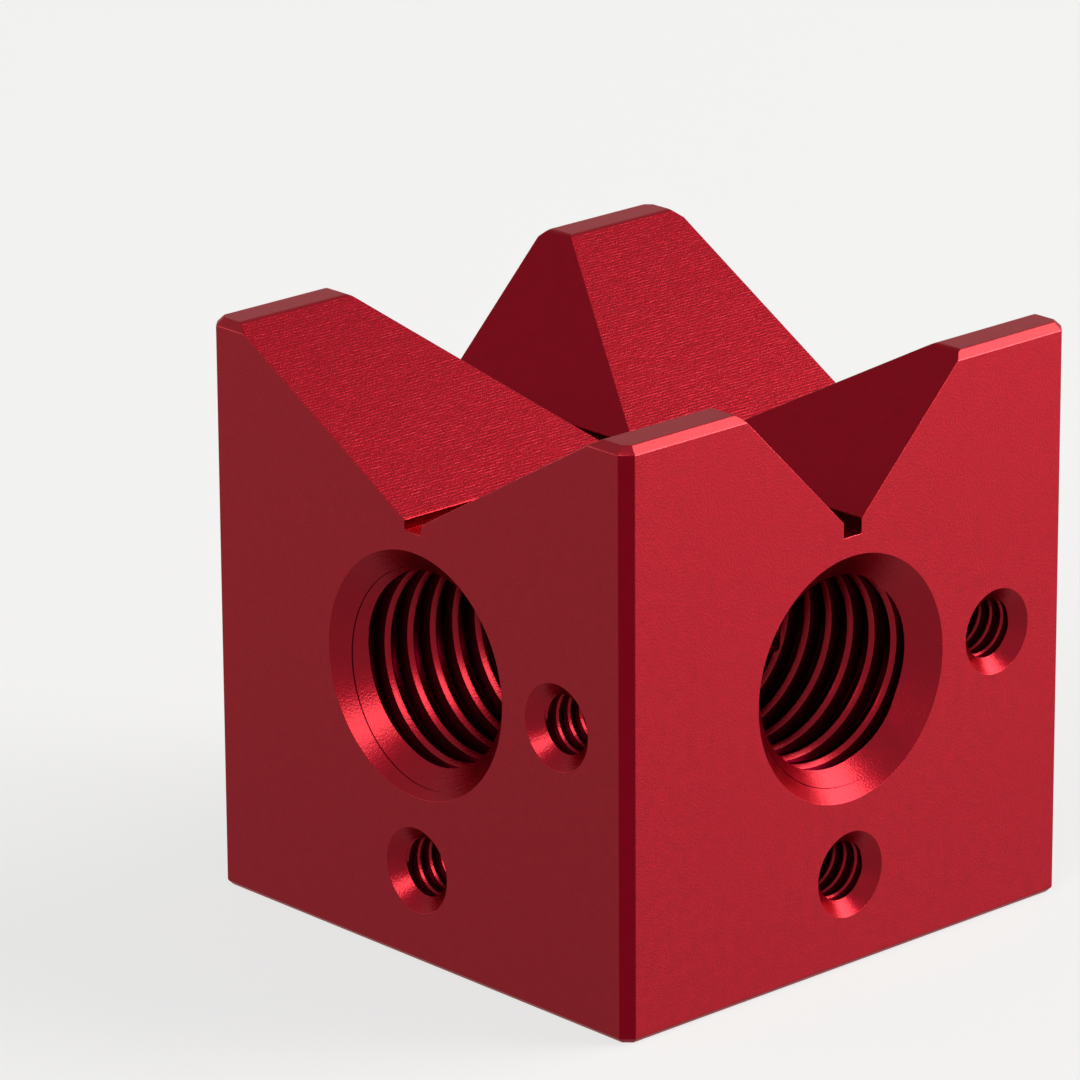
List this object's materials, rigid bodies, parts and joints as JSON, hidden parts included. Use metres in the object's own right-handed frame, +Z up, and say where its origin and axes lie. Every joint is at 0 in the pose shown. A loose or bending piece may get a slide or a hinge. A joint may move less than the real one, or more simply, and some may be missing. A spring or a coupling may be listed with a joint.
{
  "type": "v block",
  "caption": "Cube-shaped two-way V block: a wide and a narrow V groove cross on top, over crossing tapped bores and small tapped side holes.",
  "frame": {"origin": "middle of the underside", "axes": "+Z up, out of the V grooves; the wide groove runs along Y and the narrow one along X; the small tapped holes are in the -Y side and the +X side"},
  "size_m": [0.0508, 0.0508, 0.0508],
  "materials": {
    "anodised_aluminium": "red anodised, fine bead-blasted satin"
  },
  "bodies": {
    "root": {"v_block": "anodised_aluminium"}
  },
  "joints": []
}
